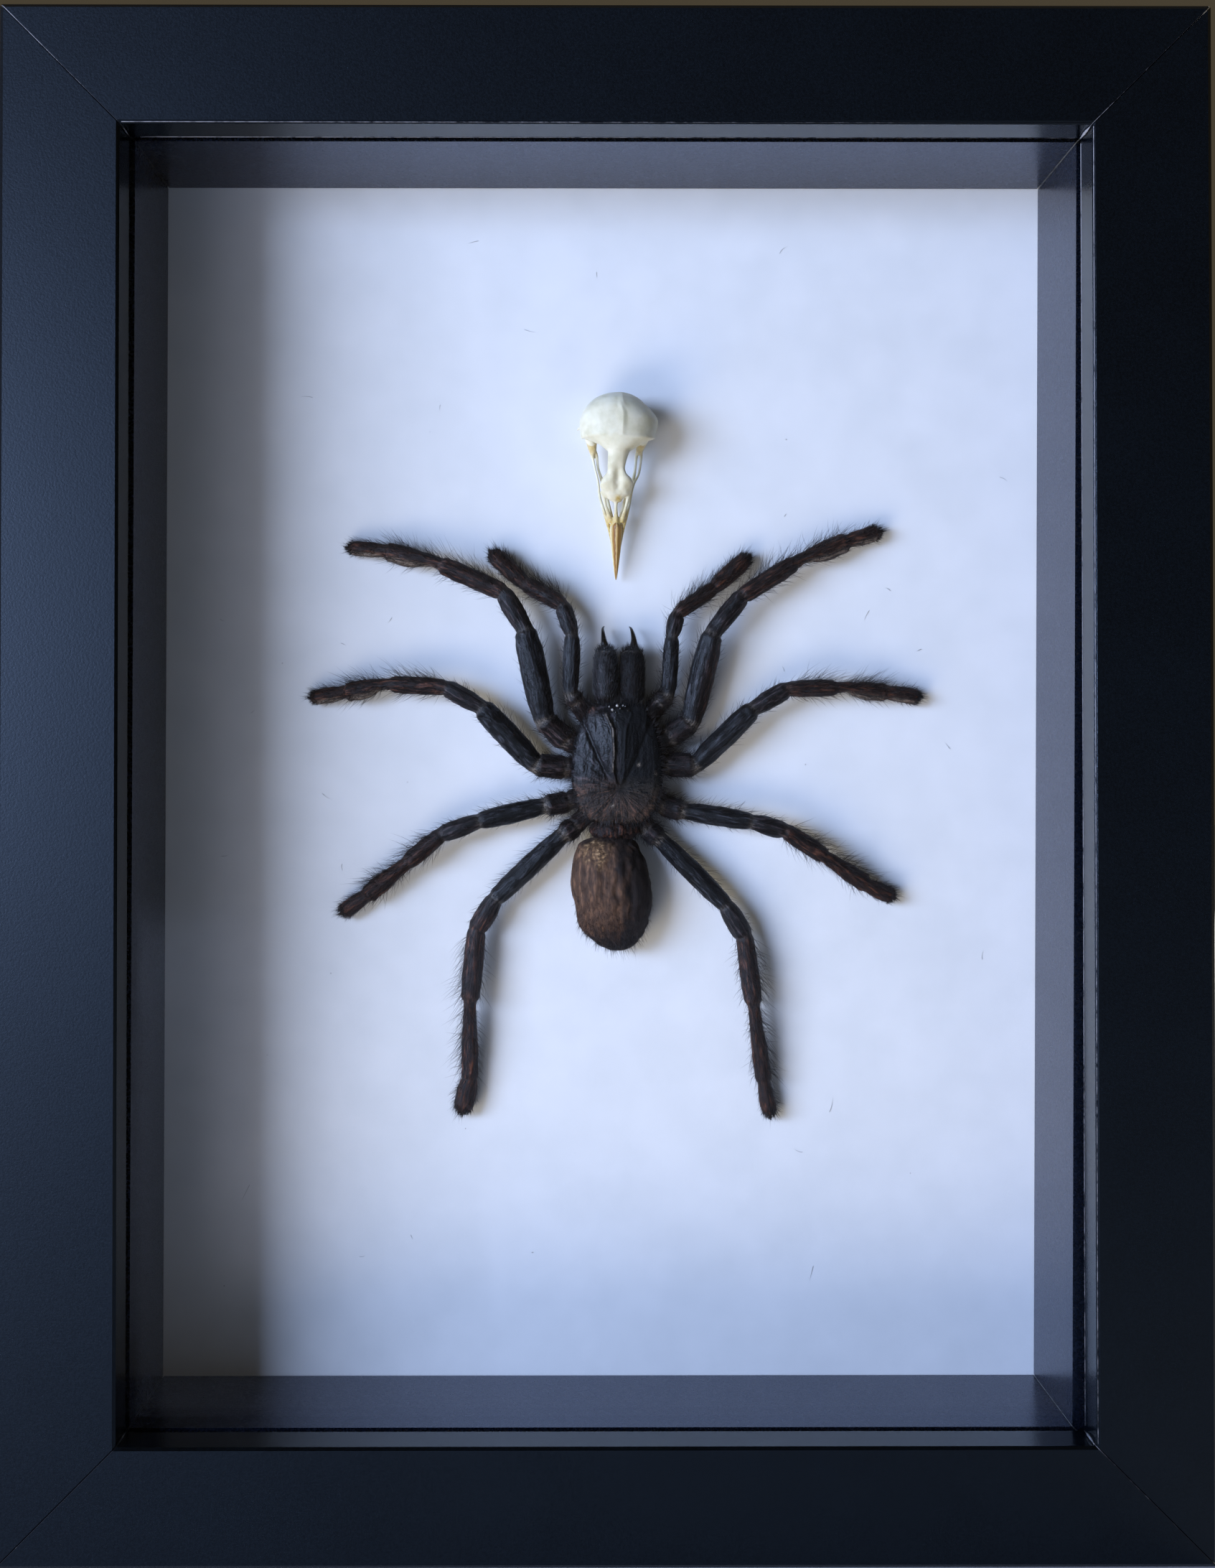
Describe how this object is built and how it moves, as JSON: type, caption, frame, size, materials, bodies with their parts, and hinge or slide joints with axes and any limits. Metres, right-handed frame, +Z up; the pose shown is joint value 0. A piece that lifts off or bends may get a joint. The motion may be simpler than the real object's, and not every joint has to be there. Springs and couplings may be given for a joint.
{
  "type": "framed tarantula specimen",
  "caption": "Deep black box frame under glass, standing or hung, with a dried tarantula and a small bird skull fixed on a white card.",
  "frame": {"origin": "middle of the frame's foot, halfway between its front and its back", "axes": "+Z up the upright frame, +X to the right of someone looking at the glass, -Y out of the glass"},
  "size_m": [0.212, 0.045, 0.272],
  "materials": {
    "frame_foil": "matt black foil wrapped on fibreboard, with a fine grain",
    "spacer_foil": "black foil on fibreboard strip, chipped at the corners",
    "glass": "clear float glass, low reflection",
    "card": "smooth white mount board with a little dust",
    "hardboard": "brown hardboard",
    "steel": "zinc-plated pressed steel",
    "rivet_brass": "brassed rivet",
    "cuticle": "dried black cuticle with hairs",
    "abdomen_skin": "dried brown wrinkled skin with fine hairs",
    "fang": "glossy black fang",
    "bone": "cleaned cream bone, slightly glossy",
    "horn": "orange-brown horn sheath"
  },
  "bodies": {
    "root": {"frame_rail_top": "frame_foil", "frame_rail_bottom": "frame_foil", "frame_stile_left": "frame_foil", "frame_stile_right": "frame_foil", "glass_pane": "glass", "spacer_top": "spacer_foil", "spacer_bottom": "spacer_foil", "spacer_left": "spacer_foil", "spacer_right": "spacer_foil", "backing_card": "card", "back_panel": "hardboard", "retaining_tab_1": "steel", "retaining_tab_2": "steel", "retaining_tab_3": "steel", "retaining_tab_4": "steel", "retaining_tab_5": "steel", "retaining_tab_6": "steel", "retaining_tab_7": "steel", "retaining_tab_8": "steel", "hanging_plate": "steel", "hanger_rivet_left": "rivet_brass", "hanger_rivet_right": "rivet_brass", "carapace": "cuticle", "abdomen": "abdomen_skin", "chelicera_left": "cuticle", "chelicera_right": "cuticle", "fang_left": "fang", "fang_right": "fang", "palp_left": "cuticle", "palp_right": "cuticle", "leg_1_left": "cuticle", "leg_2_left": "cuticle", "leg_3_left": "cuticle", "leg_4_left": "cuticle", "leg_1_right": "cuticle", "leg_2_right": "cuticle", "leg_3_right": "cuticle", "leg_4_right": "cuticle", "bird_skull": "bone", "bill_sheath": "horn"}
  },
  "joints": []
}
